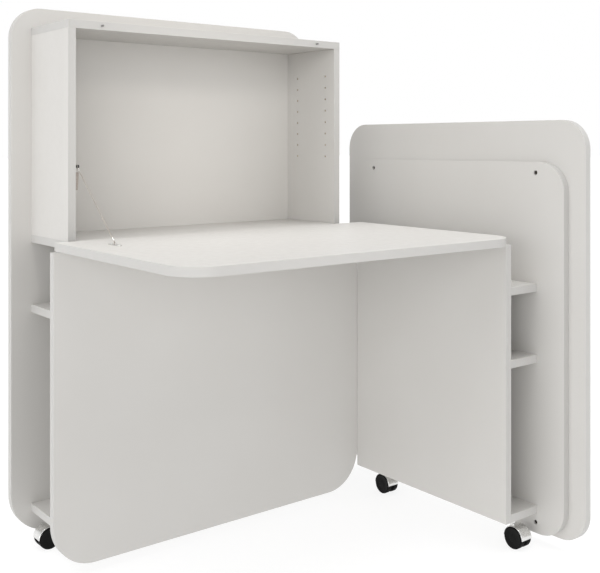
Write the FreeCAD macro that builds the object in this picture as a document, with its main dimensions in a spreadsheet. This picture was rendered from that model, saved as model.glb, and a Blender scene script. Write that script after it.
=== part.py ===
"""Fold-out desk on castors: a tall hutch with a drop-down worktop, and a side wing that holds it up.

The origin is on the floor under the middle of the overall box. +Z is up, the hutch's back panel faces
+Y and the wing stands at +X. Lengths are in millimetres.
"""

import FreeCAD, Part
import os
import Sketcher
from FreeCAD import Placement, Rotation, Vector

os.makedirs("parts", exist_ok=True)
doc = FreeCAD.newDocument("FoldOutDesk")

# ---------------------------------------------------------------- driving dimensions
SIZES = [
    ("board", 19, "thickness of every board"),
    ("edge_round", 0.5, "softened edges of the boards"),
    ("hutch_left", -520.5, "left edge of the front panel and the flap"),
    ("panel_width", 898, "flap"),
    ("back_overhang", 3, "back panel past the flap at the left edge"),
    ("front_panel_width", 891, "front panel, which stops at the wing"),
    ("front_y", 195, "front face of the front panel"),
    ("back_y", 436.5, "front face of the back panel"),
    ("panel_bottom", 22, "floor to the hutch's panels"),
    ("back_top", 1301, "top of the back panel"),
    ("top_corner", 75, "corner radius, upper corners and flap"),
    ("bottom_corner", 100, "corner radius, lower corners of the hutch"),
    ("base_bottom", 76, "underside of both base boards"),
    ("front_top", 728.5, "top edge of the front panel"),
    ("box_left", -473.5, "left side of the box and of the boards below it"),
    ("box_width", 804, "box over its sides"),
    ("box_front", 223.5, "front edges of the box"),
    ("box_top", 1252, "top of the box"),
    ("floor_top", 749, "inside floor of the box"),
    ("shelf_top", 579, "lower shelves of the hutch"),
    ("flap_length", 556, "worktop, hinge edge to free edge"),
    ("hinge_offset", 2.5, "knuckle axis out from both faces of its corner"),
    ("knuckle_radius", 2.45, "hinge knuckles"),
    ("pin_radius", 1.2, "hinge pins"),
    ("pin_play", 0.05, "radial play of every turning pin, axle and stem"),
    ("leaf_thickness", 1.2, "hinge leaves"),
    ("leaf_width", 16, "hinge leaves beyond the knuckle axis"),
    ("wing_length", 525.5, "front panel and shelves of the wing"),
    ("wing_gap", 0.5, "wing's far edge from the hutch's front panel"),
    ("wing_depth", 96, "clear depth of the wing's shelves"),
    ("wing_top", 732.5, "top of the wing's front panel"),
    ("wing_bottom", 27, "floor to the tall wing panels"),
    ("wing_middle", -37, "centre line of the tall wing panels"),
    ("inner_width", 743, "inner wing panel"),
    ("inner_top", 926, "top of the inner wing panel"),
    ("outer_width", 837, "outer wing panel"),
    ("outer_top", 1027, "top of the outer wing panel"),
    ("wing_corner", 70, "corner radius of the tall wing panels"),
    ("wing_shelf_high", 631, "top of the upper wing shelf"),
    ("wing_shelf_low", 459, "top of the lower wing shelf"),
    ("dowel_radius", 4, "wooden dowels"),
    ("dowel_length", 28, "wooden dowels"),
    ("shelf_pin_radius", 2.5, "shelf-pin holes"),
    ("shelf_pin_depth", 10, "shelf-pin holes"),
    ("shelf_pin_pitch", 32, "shelf-pin holes"),
    ("shelf_pin_rows", 8, "shelf-pin holes in each column"),
    ("shelf_pin_front", 39.5, "front column from the box's front"),
    ("shelf_pin_back", 165.5, "back column from the box's front"),
    ("shelf_pin_first", 186, "lowest shelf-pin holes above the box floor"),
    ("catch_inset", 83, "door catches from the box's sides"),
    ("catch_radius", 3.2, "barrel of a door catch"),
    ("catch_tip_radius", 2.2, "tip of a door catch"),
    ("catch_depth", 26, "barrel of a door catch"),
    ("panel_screw_side", 82, "wing panel screws from the inner panel's sides"),
    ("panel_screw_end", 26, "wing panel screws from its top and bottom"),
    ("panel_screw_head", 5.5, "counterbore radius of the wing panel screws"),
    ("panel_screw_sink", 4, "counterbore depth left open over the screw heads"),
    ("panel_screw_shank", 2.2, "shank radius of the wing panel screws"),
    ("stay_stud_y", 234, "stud of the stay"),
    ("stay_stud_z", 918, "stud of the stay"),
    ("stay_flap_x", -440, "flap bracket of the stay"),
    ("stay_flap_y", 60, "flap bracket of the stay"),
    ("wire_radius", 1, "wire of the stay"),
    ("hinge_length", 60, "each wing hinge"),
    ("wing_hinge_low", 180, "lower wing hinge"),
    ("wing_hinge_high", 600, "upper wing hinge"),
    ("castor_inset", 34, "stem from the end of its base board"),
    ("castor_reach", 49, "stem from the panel beside it"),
    ("trail", 14, "axle behind the stem"),
    ("wheel_radius", 26, "castor wheels"),
    ("wheel_outer", 19, "outer wheel face from the castor's middle"),
    ("wheel_inner", 4.5, "inner wheel face from the castor's middle"),
    ("hood_radius", 28, "outside of the hood"),
    ("hood_shell", 1.5, "hood wall"),
    ("hood_half_width", 18, "hood from the castor's middle"),
    ("axle_radius", 3, "castor axle"),
    ("stem_radius", 4, "castor stem"),
]

sheet = doc.addObject("Spreadsheet::Sheet", "Sizes")
for row, (alias, value, note) in enumerate(SIZES, start=1):
    sheet.set(f"A{row}", note)
    sheet.set(f"B{row}", str(value))
    sheet.setAlias(f"B{row}", alias)
doc.recompute()
size = {alias: float(sheet.get(alias)) for alias, _, _ in SIZES}


def bind(obj, path, formula):
    """Ties one property to the sheet. Names of driving dimensions in the formula become sheet cells."""
    words = formula.replace("(", "( ").replace(")", " )").split()
    cells = ["Sizes." + word if word in size else word for word in words]
    obj.setExpression(path, " ".join(cells))


def place(obj, x, y, z):
    for axis, formula in zip("xyz", (x, y, z)):
        bind(obj, f"Placement.Base.{axis}", formula)


# ---------------------------------------------------------------- boards
BOARD_PLANES = {"flat": "XY_Plane", "facing": "XZ_Plane", "side": "YZ_Plane"}


def origin_plane(body, lying):
    role = BOARD_PLANES[lying]
    return next(f for f in body.Origin.OriginFeatures if f.Role == role)


def rectangle(body, lying, width, height):
    """A sketch with one rectangle from the body's origin, its two sides tied to the sheet."""
    sketch = body.newObject("Sketcher::SketchObject", body.Name + "Outline")
    sketch.AttachmentSupport = [(origin_plane(body, lying), "")]
    sketch.MapMode = "FlatFace"
    corners = [Vector(0, 0, 0), Vector(100, 0, 0), Vector(100, 100, 0), Vector(0, 100, 0)]
    for start, end in zip(corners, corners[1:] + corners[:1]):
        sketch.addGeometry(Part.LineSegment(start, end))
    rules = [Sketcher.Constraint("Coincident", side, 2, (side + 1) % 4, 1) for side in range(4)]
    rules += [Sketcher.Constraint("Horizontal", side) for side in (0, 2)]
    rules += [Sketcher.Constraint("Vertical", side) for side in (1, 3)]
    rules.append(Sketcher.Constraint("Coincident", 0, 1, -1, 1))
    sketch.addConstraint(rules)
    wide = sketch.addConstraint(Sketcher.Constraint("DistanceX", 0, 1, 0, 2, 100))
    high = sketch.addConstraint(Sketcher.Constraint("DistanceY", 1, 1, 1, 2, 100))
    bind(sketch, f"Constraints[{wide}]", width)
    bind(sketch, f"Constraints[{high}]", height)
    return sketch


def corner_edges(shape, corners, lying):
    """Names of the through-thickness edges at the named corners, such as 'top left'."""
    box = shape.BoundBox
    low = (box.XMin, box.YMin, box.ZMin)
    high = (box.XMax, box.YMax, box.ZMax)
    wide, tall = {"flat": (0, 1), "facing": (0, 2), "side": (1, 2)}[lying]
    spots = {
        "bottom left": (low[wide], low[tall]),
        "bottom right": (high[wide], low[tall]),
        "top left": (low[wide], high[tall]),
        "top right": (high[wide], high[tall]),
    }
    names = []
    for number, edge in enumerate(shape.Edges, start=1):
        for corner in corners:
            across, upward = spots[corner]
            offs = [(v.Point[wide] - across, v.Point[tall] - upward) for v in edge.Vertexes]
            if max(abs(off) for pair in offs for off in pair) < 0.01:
                names.append(f"Edge{number}")
    return names


def board(name, lying, width, height, x, y, z, rounded=()):
    """A board that lies 'flat', stands 'facing' the front or stands on its 'side'.

    rounded lists pairs of corners and their radius.
    """
    body = doc.addObject("PartDesign::Body", name)
    outline = rectangle(body, lying, width, height)
    pad = body.newObject("PartDesign::Pad", name + "Pad")
    pad.Profile = outline
    pad.Reversed = lying == "facing"
    bind(pad, "Length", "board")
    doc.recompute()
    base = pad
    for number, (corners, radius) in enumerate(rounded):
        fillet = body.newObject("PartDesign::Fillet", f"{name}Corner{number}")
        fillet.Base = (base, corner_edges(base.Shape, corners, lying))
        bind(fillet, "Radius", radius)
        doc.recompute()
        base = fillet
    soft = body.newObject("PartDesign::Fillet", name + "Edges")
    soft.Base = (base, [""])
    soft.UseAllEdges = True
    bind(soft, "Radius", "edge_round")
    place(body, x, y, z)
    doc.recompute()
    return body


TOP = ("top left", "top right")
BOTTOM = ("bottom left", "bottom right")
ALL_CORNERS = TOP + BOTTOM

boards = {}
boards["back_panel"] = board(
    "back_panel", "facing", "panel_width + back_overhang", "back_top - panel_bottom",
    "hutch_left - back_overhang", "back_y", "panel_bottom",
    rounded=((TOP, "top_corner"), (BOTTOM, "bottom_corner")),
)
boards["front_panel"] = board(
    "front_panel", "facing", "front_panel_width", "front_top - panel_bottom",
    "hutch_left", "front_y", "panel_bottom",
    rounded=((BOTTOM, "bottom_corner"),),
)
side_height = "box_top - floor_top - board"
boards["box_left_side"] = board(
    "box_left_side", "side", "back_y - box_front", side_height, "box_left", "box_front", "floor_top",
)
boards["box_right_side"] = board(
    "box_right_side", "side", "back_y - box_front", side_height,
    "box_left + box_width - board", "box_front", "floor_top",
)
boards["box_top"] = board(
    "box_top", "flat", "box_width", "back_y - box_front", "box_left", "box_front", "box_top - board",
)
boards["box_floor"] = board(
    "box_floor", "flat", "box_width", "back_y - box_front", "box_left", "box_front", "floor_top - board",
)
bay_depth = "back_y - front_y - board"
divider_x = "box_left + box_width / 2 - board / 2"
boards["base_board"] = board(
    "base_board", "flat", "box_width", bay_depth, "box_left", "front_y + board", "base_bottom",
)
boards["centre_divider"] = board(
    "centre_divider", "side", bay_depth, "floor_top - 2 * board - base_bottom",
    divider_x, "front_y + board", "base_bottom + board",
)
half_shelf = "box_width / 2 - board / 2"
boards["lower_shelf_left"] = board(
    "lower_shelf_left", "flat", half_shelf, bay_depth, "box_left", "front_y + board", "shelf_top - board",
)
boards["lower_shelf_right"] = board(
    "lower_shelf_right", "flat", half_shelf, bay_depth,
    "box_left + box_width / 2 + board / 2", "front_y + board", "shelf_top - board",
)
flap_back = "front_y - 2 * hinge_offset"
flap_under = "front_top + 2 * hinge_offset"
boards["flap"] = board(
    "flap", "flat", "panel_width", "flap_length",
    "hutch_left", flap_back + " - flap_length", flap_under,
    rounded=((BOTTOM, "top_corner"),),
)
wing_left = "hutch_left + front_panel_width"
wing_near = "front_y - wing_gap - wing_length"
shelf_x = wing_left + " + board"
inner_x = shelf_x + " + wing_depth"
boards["wing_front_panel"] = board(
    "wing_front_panel", "side", "wing_length", "wing_top - base_bottom",
    wing_left, wing_near, "base_bottom",
)
for name, bottom in (
    ("wing_base", "base_bottom"),
    ("wing_lower_shelf", "wing_shelf_low - board"),
    ("wing_upper_shelf", "wing_shelf_high - board"),
):
    boards[name] = board(name, "flat", "wing_depth", "wing_length", shelf_x, wing_near, bottom)
boards["wing_inner_panel"] = board(
    "wing_inner_panel", "side", "inner_width", "inner_top - wing_bottom",
    inner_x, "wing_middle - inner_width / 2", "wing_bottom",
    rounded=((ALL_CORNERS, "wing_corner"),),
)
boards["wing_outer_panel"] = board(
    "wing_outer_panel", "side", "outer_width", "outer_top - wing_bottom",
    inner_x + " + board", "wing_middle - outer_width / 2", "wing_bottom",
    rounded=((ALL_CORNERS, "wing_corner"),),
)


def pin_holes(body, from_far_face):
    """Two columns of shelf-pin holes in a side of the box, drilled from its inner face."""
    sketch = body.newObject("Sketcher::SketchObject", body.Name + "PinHoles")
    sketch.AttachmentSupport = [(origin_plane(body, "side"), "")]
    sketch.MapMode = "FlatFace"
    first = size["shelf_pin_first"]
    for column in ("shelf_pin_front", "shelf_pin_back"):
        middle = Vector(size[column], first, 0)
        number = sketch.addGeometry(Part.Circle(middle, Vector(0, 0, 1), size["shelf_pin_radius"]))
        rules = (
            (("DistanceX", -1, 1, number, 3, size[column]), column),
            (("DistanceY", -1, 1, number, 3, first), "shelf_pin_first"),
            (("Radius", number, size["shelf_pin_radius"]), "shelf_pin_radius"),
        )
        for rule, formula in rules:
            constraint = sketch.addConstraint(Sketcher.Constraint(*rule))
            bind(sketch, f"Constraints[{constraint}]", formula)
    if from_far_face:
        bind(sketch, "AttachmentOffset.Base.z", "board")
    whole = body.Shape.Volume
    pocket = body.newObject("PartDesign::Pocket", body.Name + "PinPocket")
    pocket.Profile = sketch
    pocket.Reversed = not from_far_face
    bind(pocket, "Length", "shelf_pin_depth")
    doc.recompute()
    pattern = body.newObject("PartDesign::LinearPattern", body.Name + "PinRows")
    pattern.Originals = [pocket]
    pattern.Direction = (sketch, ["V_Axis"])
    bind(pattern, "Length", "shelf_pin_pitch * ( shelf_pin_rows - 1 )")
    pattern.Occurrences = int(size["shelf_pin_rows"])
    body.Tip = pattern
    doc.recompute()
    hole = 3.14159 * size["shelf_pin_radius"] ** 2 * size["shelf_pin_depth"]
    drilled = (whole - body.Shape.Volume) / hole
    assert abs(drilled - 2 * size["shelf_pin_rows"]) < 0.1, f"{body.Name}: {drilled:.2f} pin holes"


pin_holes(boards["box_left_side"], from_far_face=True)
pin_holes(boards["box_right_side"], from_far_face=False)

# ---------------------------------------------------------------- primitives
TOWARDS = {
    "x": Rotation(Vector(0, 1, 0), 90),
    "y": Rotation(Vector(1, 0, 0), -90),
    "z": Rotation(),
}


def cylinder(name, radius, length, start, along="z"):
    """A cylinder that starts at a point and runs along one axis."""
    made = doc.addObject("Part::Cylinder", name)
    bind(made, "Radius", radius)
    bind(made, "Height", length)
    made.Placement = Placement(Vector(*start), TOWARDS[along])
    return made


def block(name, length, width, height, corner):
    made = doc.addObject("Part::Box", name)
    bind(made, "Length", length)
    bind(made, "Width", width)
    bind(made, "Height", height)
    made.Placement = Placement(Vector(*corner), Rotation())
    return made


def group(name, members):
    made = doc.addObject("Part::Compound", name)
    made.Links = members
    return made


def fuse(name, members):
    made = doc.addObject("Part::MultiFuse", name)
    made.Shapes = members
    return made


def cut(name, base, tool):
    made = doc.addObject("Part::Cut", name)
    made.Base = base
    made.Tool = tool
    return made


def common(name, base, tool):
    made = doc.addObject("Part::Common", name)
    made.Base = base
    made.Tool = tool
    return made


nodes = dict(boards)


def drill(board_name, tools):
    """Cuts the holes for tools in a board. The drilled board takes over the board's name."""
    blank = nodes[board_name]
    blank.Label = board_name + "_blank"
    nodes[board_name] = cut(board_name + "_drilled", blank, group(board_name + "_drills", tools))


# ---------------------------------------------------------------- dowels
doc.recompute()
faces = {name: body.Shape.BoundBox for name, body in boards.items()}
board_t = size["board"]
half_dowel = size["dowel_length"] / 2


def dowels(prefix, joints):
    """Dowels across each joint: the two boards, the axis and the points where it crosses the joint."""
    made = []
    drills = {}
    for first, second, along, points in joints:
        step = {"x": Vector(1, 0, 0), "y": Vector(0, 1, 0), "z": Vector(0, 0, 1)}[along]
        for point in points:
            start = Vector(*point) - step * half_dowel
            dowel = cylinder(f"{prefix}{len(made)}", "dowel_radius", "dowel_length", start, along)
            made.append(dowel)
            drills.setdefault(first, []).append(dowel)
            drills.setdefault(second, []).append(dowel)
    for board_name, tools in drills.items():
        drill(board_name, tools)
    nodes[prefix] = group(prefix + "_set", made)


box_l = size["box_left"]
box_r = box_l + size["box_width"]
front_back = size["front_y"] + board_t
back_y = size["back_y"]
box_front = size["box_front"]
mid_x = (box_l + box_r) / 2
top_z = size["box_top"] - board_t / 2
floor_z = size["floor_top"] - board_t / 2
shelf_z = size["shelf_top"] - board_t / 2
base_z = size["base_bottom"] + board_t / 2
side_xs = (box_l + board_t / 2, box_r - board_t / 2)
deep_ys = (box_front + 60, back_y - 60)
wide_xs = (box_l + 90, mid_x + 60, box_r - 90)

joints = []
for side, x in zip(("box_left_side", "box_right_side"), side_xs):
    joints.append((side, "box_top", "z", [(x, y, size["box_top"] - board_t) for y in deep_ys]))
    joints.append((side, "box_floor", "z", [(x, y, size["floor_top"]) for y in deep_ys]))
    joints.append((side, "back_panel", "y", [(x, back_y, z) for z in (900, 1100)]))
joints.append(("box_top", "back_panel", "y", [(x, back_y, top_z) for x in wide_xs]))
joints.append(("box_floor", "back_panel", "y", [(x, back_y, floor_z) for x in wide_xs]))
for y, panel in ((front_back, "front_panel"), (back_y, "back_panel")):
    joints.append(("base_board", panel, "y", [(x, y, base_z) for x in wide_xs]))
    for shelf, ends in (("left", (box_l + 90, mid_x - 90)), ("right", (mid_x + 90, box_r - 90))):
        joints.append((f"lower_shelf_{shelf}", panel, "y", [(x, y, shelf_z) for x in ends]))
    joints.append(("centre_divider", panel, "y", [(mid_x, y, z) for z in (220, 660)]))
divider_top = size["floor_top"] - board_t
joints.append(("centre_divider", "box_floor", "z", [(mid_x, y, divider_top) for y in deep_ys]))
dowels("hutch_dowels", joints)

wing_front_face = faces["wing_front_panel"].XMax
inner_face = faces["wing_inner_panel"].XMin
wing_ys = (faces["wing_base"].YMin + 90, faces["wing_base"].YMax - 90)
joints = []
for shelf in ("wing_base", "wing_lower_shelf", "wing_upper_shelf"):
    z = (faces[shelf].ZMin + faces[shelf].ZMax) / 2
    for x, panel in ((wing_front_face, "wing_front_panel"), (inner_face, "wing_inner_panel")):
        joints.append((shelf, panel, "x", [(x, y, z) for y in wing_ys]))
dowels("wing_dowels", joints)

# ---------------------------------------------------------------- screws between the tall wing panels
HEAD_THICKNESS = 2.5
SHANK_LENGTH = 24
screws = []
sinks = []
half_inner = size["inner_width"] / 2 - size["panel_screw_side"]
screw_zs = (size["wing_bottom"] + size["panel_screw_end"], size["inner_top"] - size["panel_screw_end"])
for y in (size["wing_middle"] - half_inner, size["wing_middle"] + half_inner):
    for z in screw_zs:
        tag = f"PanelScrew{len(screws)}"
        head_at = inner_face + size["panel_screw_sink"]
        head = cylinder(tag + "Head", "panel_screw_head", str(HEAD_THICKNESS), (head_at, y, z), "x")
        shank = cylinder(tag + "Shank", "panel_screw_shank", str(SHANK_LENGTH), (head_at, y, z), "x")
        screws.append(fuse(tag, [head, shank]))
        sink = cylinder(tag + "Sink", "panel_screw_head", "panel_screw_sink", (inner_face, y, z), "x")
        sinks.append(sink)
nodes["wing_panel_screws"] = group("wing_panel_screws_set", screws)
drill("wing_inner_panel", screws + sinks)
drill("wing_outer_panel", screws)

# ---------------------------------------------------------------- door catches
TIP_GAP = 0.5
axis_y = size["front_y"] - size["hinge_offset"]
axis_z = size["front_top"] + size["hinge_offset"]
flap_top = size["front_top"] + 2 * size["hinge_offset"] + board_t
flap_closed_back = axis_y + flap_top - axis_z
catch_barrels = []
catches = []
for number, x in enumerate((box_l + size["catch_inset"], box_r - size["catch_inset"])):
    barrel = cylinder(f"CatchBarrel{number}", "catch_radius", "catch_depth", (x, box_front, top_z), "y")
    tip_start = flap_closed_back + TIP_GAP
    tip_length = f"{box_front - tip_start + 1}"
    tip = cylinder(f"CatchTip{number}", "catch_tip_radius", tip_length, (x, tip_start, top_z), "y")
    catch_barrels.append(barrel)
    catches.append(fuse(f"Catch{number}", [barrel, tip]))
nodes["door_catches"] = group("door_catches_set", catches)
drill("box_top", catch_barrels)

# ---------------------------------------------------------------- hinges
CUT_CLEARANCE = 0.3


def hinge(name, length, knuckles, placements):
    """Butt hinges on a local Z axis, with the fixed leaf towards +Y and the moving leaf towards +X.

    One node each for the fixed leaves, the moving leaves and the pins, with one solid per placement.
    """
    step = length / knuckles
    leaves = {"fixed": [], "moving": []}
    pins = []
    offset = size["hinge_offset"]
    for number, placement in enumerate(placements):
        for kind, first in (("fixed", 0), ("moving", 1)):
            tag = f"{name}_{kind}{number}"
            if kind == "fixed":
                plate_size = ("leaf_thickness", "leaf_width", str(length))
                plate = block(tag + "_plate", *plate_size, (-offset, 0, 0))
            else:
                plate_size = ("leaf_width", "leaf_thickness", str(length))
                plate = block(tag + "_plate", *plate_size, (0, -offset, 0))
            barrel = cylinder(tag + "_barrel", "knuckle_radius", str(length), (0, 0, 0))
            gaps = [cylinder(tag + "_bore", "pin_radius + pin_play", str(length), (0, 0, 0))]
            for slot in range(1 - first, knuckles, 2):
                start = slot * step - CUT_CLEARANCE / 2
                gap_length = f"{step + CUT_CLEARANCE}"
                gap_radius = f"knuckle_radius + {CUT_CLEARANCE}"
                gaps.append(cylinder(f"{tag}_gap{slot}", gap_radius, gap_length, (0, 0, start)))
            whole = fuse(tag + "_whole", [plate, barrel])
            leaf = cut(tag, whole, group(tag + "_gaps", gaps))
            leaf.Placement = placement
            leaves[kind].append(leaf)
        pin = cylinder(f"{name}_pin{number}", "pin_radius", str(length), (0, 0, 0))
        pin.Placement = placement
        pins.append(pin)
    nodes[name + "_fixed_leaf"] = group(name + "_fixed_set", leaves["fixed"])
    nodes[name + "_moving_leaf"] = group(name + "_moving_set", leaves["moving"])
    nodes[name + "_pin"] = group(name + "_pin_set", pins)


FLAP_HINGE_MARGIN = 12
FLAP_KNUCKLES = 25
front_right = size["hutch_left"] + size["front_panel_width"]
flap_hinge_length = size["front_panel_width"] - 2 * FLAP_HINGE_MARGIN
lengthwise = Rotation(Vector(0, 1, 0), -90)
flap_hinge_start = Vector(front_right - FLAP_HINGE_MARGIN, axis_y, axis_z)
hinge("flap_hinge", flap_hinge_length, FLAP_KNUCKLES, [Placement(flap_hinge_start, lengthwise)])

WING_KNUCKLES = 5
wing_axis_x = front_right + size["hinge_offset"]
wing_axis_y = size["front_y"] - size["wing_gap"] + size["hinge_offset"]
wing_hinge_zs = (size["wing_hinge_low"], size["wing_hinge_high"])
wing_hinge_places = [Placement(Vector(wing_axis_x, wing_axis_y, z), Rotation()) for z in wing_hinge_zs]
hinge("wing_hinge", size["hinge_length"], WING_KNUCKLES, wing_hinge_places)

# ---------------------------------------------------------------- wire stay
PLATE_THICKNESS = 2.5
STRAP_WIDTH = 9
STRAP_LENGTH = 76
STRAP_ABOVE_STUD = 8
FLANGE_THICKNESS = 2
FLANGE_TOP_REACH = 10.5
FLANGE_FOOT_REACH = 8
FLANGE_TOP_BELOW_STUD = 13
FLANGE_LENGTH = 41
STUD_LENGTH = 12
STUD_RADIUS = 3
STUD_HEAD_RADIUS = 4
STUD_HEAD_THICKNESS = 3
FLAP_PLATE = (12, 50, 1.5)
LUG_HEIGHT = 9
LUG_THICKNESS = 2
SCREW_RADIUS = 1.6
SCREW_HEAD_RADIUS = 3.2
SCREW_LENGTH = 12
side_face = box_l + board_t
stud_y = size["stay_stud_y"]
stud_z = size["stay_stud_z"]

strap_corner = (side_face, stud_y - STRAP_WIDTH / 2, stud_z + STRAP_ABOVE_STUD - STRAP_LENGTH)
strap = block("StayStrap", str(PLATE_THICKNESS), str(STRAP_WIDTH), str(STRAP_LENGTH), strap_corner)
stud = cylinder("StayStud", str(STUD_RADIUS), str(STUD_LENGTH), (side_face, stud_y, stud_z), "x")
stud_head_at = (side_face + STUD_LENGTH - STUD_HEAD_THICKNESS, stud_y, stud_z)
stud_head = cylinder("StayStudHead", str(STUD_HEAD_RADIUS), str(STUD_HEAD_THICKNESS), stud_head_at, "x")
flange_top = stud_z - FLANGE_TOP_BELOW_STUD
flange_foot = flange_top - FLANGE_LENGTH
flange_corners = (
    (0, flange_foot),
    (FLANGE_FOOT_REACH, flange_foot),
    (FLANGE_TOP_REACH, flange_top),
    (0, flange_top),
)
flange_near = stud_y - FLANGE_THICKNESS / 2
flange_points = [Vector(side_face + reach, flange_near, z) for reach, z in flange_corners]
flange_outline = Part.makePolygon(flange_points + flange_points[:1])
flange = doc.addObject("Part::Feature", "StayFlange")
flange.Shape = Part.Face(flange_outline).extrude(Vector(0, FLANGE_THICKNESS, 0))


def wood_screw(tag, surface, along, inwards):
    """A pan-head screw whose head sits on a plate's outer face, and its shank as a drill for the rest."""
    head_height = 1.6
    step = {"x": Vector(1, 0, 0), "z": Vector(0, 0, 1)}[along] * inwards
    at = Vector(*surface)
    head_start = at if inwards < 0 else at - step * head_height
    shank_start = at + step * SCREW_LENGTH if inwards < 0 else at
    head = cylinder(tag + "Head", str(SCREW_HEAD_RADIUS), str(head_height), head_start, along)
    shank = cylinder(tag + "Shank", str(SCREW_RADIUS), str(SCREW_LENGTH), shank_start, along)
    return fuse(tag, [head, shank]), shank


strap_screw_at = (side_face + PLATE_THICKNESS, stud_y, strap_corner[2] + 8)
side_screw, side_shank = wood_screw("StaySideScrew", strap_screw_at, "x", -1)
nodes["stay_side_screw"] = side_screw
side_bracket_whole = fuse("StaySideWhole", [strap, stud, stud_head, flange])
nodes["stay_side_bracket"] = cut("StaySideBracket", side_bracket_whole, side_shank)
drill("box_left_side", [side_shank])

plate_x, plate_y, plate_z = FLAP_PLATE
flap_x = size["stay_flap_x"]
flap_y = size["stay_flap_y"]
plate_corner = (flap_x - plate_x / 2, flap_y - plate_y / 2, flap_top)
flap_plate = block("StayFlapPlate", str(plate_x), str(plate_y), str(plate_z), plate_corner)
lug_corner = (flap_x - LUG_THICKNESS / 2, flap_y - 5, flap_top)
lug = block("StayLug", str(LUG_THICKNESS), "10", str(LUG_HEIGHT), lug_corner)
flap_screws = []
flap_shanks = []
for end in (-1, 1):
    surface = (flap_x, flap_y + end * (plate_y / 2 - 7), flap_top + plate_z)
    screw, shank = wood_screw(f"StayFlapScrew{len(flap_screws)}", surface, "z", -1)
    flap_screws.append(screw)
    flap_shanks.append(shank)
lug_hole = cylinder("StayLugHole", "2", "8", (flap_x - 4, flap_y, flap_top + LUG_HEIGHT - 4), "x")
flap_bracket_whole = fuse("StayFlapWhole", [flap_plate, lug])
flap_bracket_tools = group("StayFlapTools", flap_shanks + [lug_hole])
nodes["stay_flap_bracket"] = cut("StayFlapBracket", flap_bracket_whole, flap_bracket_tools)
nodes["stay_flap_screws"] = group("stay_flap_screws_set", flap_screws)
drill("flap", flap_shanks)

WIRE_END_GAP = 6
wire_from = Vector(side_face + STUD_LENGTH - STUD_HEAD_THICKNESS - 2, stud_y, stud_z)
wire_to = Vector(flap_x + 3, flap_y, flap_top + LUG_HEIGHT - 4)
run = wire_to - wire_from
direction = Vector(run).normalize()
wire = doc.addObject("Part::Cylinder", "StayWire")
bind(wire, "Radius", "wire_radius")
wire.Height = run.Length - 2 * WIRE_END_GAP
wire.Placement = Placement(wire_from + direction * WIRE_END_GAP, Rotation(Vector(0, 0, 1), direction))
nodes["stay_wire"] = wire

# ---------------------------------------------------------------- castors
MOUNT_PLATE = 38
MOUNT_THICKNESS = 2.5
STEM_TIP_Z = 56
BOSS_RADIUS = 7.5
BOSS_BOTTOM_Z = 45
BOSS_TOP_Z = 68
HUB_RADIUS = 7
WEB_HALF = 3.5
SHELL_PLAY = 0.5
TALL = 100


def castor(name, at, turn):
    """A twin-wheel castor: stem on its own Z axis, wheels trailing towards -X, axle along Y."""
    spot = Placement(Vector(*at), Rotation(Vector(0, 0, 1), turn))
    axle_at = (-size["trail"], 0, size["wheel_radius"])
    left, _, axle_z = axle_at
    base_z = size["base_bottom"]
    plate_at = (-MOUNT_PLATE / 2, -MOUNT_PLATE / 2, base_z - MOUNT_THICKNESS)
    plate = block(name + "Plate", str(MOUNT_PLATE), str(MOUNT_PLATE), str(MOUNT_THICKNESS), plate_at)
    stem_length = f"base_bottom - {STEM_TIP_Z} - 1"
    stem = cylinder(name + "Stem", "stem_radius", stem_length, (0, 0, STEM_TIP_Z))
    mount = fuse(name + "Mount", [plate, stem])

    def across(tag, radius, start, end):
        """A cylinder round the axle from one distance to another from the castor's middle."""
        return cylinder(name + tag, radius, f"{end - start}", (left, start, axle_z), "y")

    half = size["hood_half_width"]
    outer = size["wheel_outer"]
    inner = size["wheel_inner"]
    drum = across("Drum", "hood_radius", -half, half)
    above = block(name + "Above", str(TALL), str(TALL), str(TALL), (left - TALL / 2, -TALL / 2, axle_z))
    shell = common(name + "Shell", drum, above)
    boss = cylinder(name + "Boss", str(BOSS_RADIUS), f"{BOSS_TOP_Z - BOSS_BOTTOM_Z}", (0, 0, BOSS_BOTTOM_Z))
    room_spans = ((-outer, -WEB_HALF), (WEB_HALF, outer))
    rooms = []
    for end, span in enumerate(room_spans):
        rooms.append(across(f"Room{end}", "hood_radius - hood_shell", *span))
    roofed = cut(name + "Roofed", fuse(name + "Body", [shell, boss]), group(name + "Rooms", rooms))
    hub = across("Hub", str(HUB_RADIUS), -WEB_HALF, WEB_HALF)
    bore_start = (0, 0, STEM_TIP_Z - SHELL_PLAY)
    bore_length = f"{BOSS_TOP_Z - STEM_TIP_Z + SHELL_PLAY}"
    bores = [
        cylinder(name + "StemBore", "stem_radius + pin_play", bore_length, bore_start),
        across("AxleBore", "axle_radius", -WEB_HALF, WEB_HALF),
    ]
    hood = cut(name + "Hood", fuse(name + "Fork", [roofed, hub]), group(name + "Bores", bores))
    axle = across("Axle", "axle_radius", -half, half)
    wheels = []
    for end, span in enumerate(((-outer, -inner), (inner, outer))):
        solid = across(f"Wheel{end}", "wheel_radius", *span)
        bore = across(f"WheelBore{end}", "axle_radius + pin_play", *span)
        wheels.append(cut(f"{name}Rim{end}", solid, bore))
    pair = group(name + "Wheels", wheels)
    for piece in (mount, hood, axle, pair):
        piece.Placement = spot.multiply(piece.Placement)
    nodes[name + "_hood"] = hood
    nodes[name + "_axle"] = axle
    nodes[name + "_wheels"] = pair
    return mount


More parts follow.
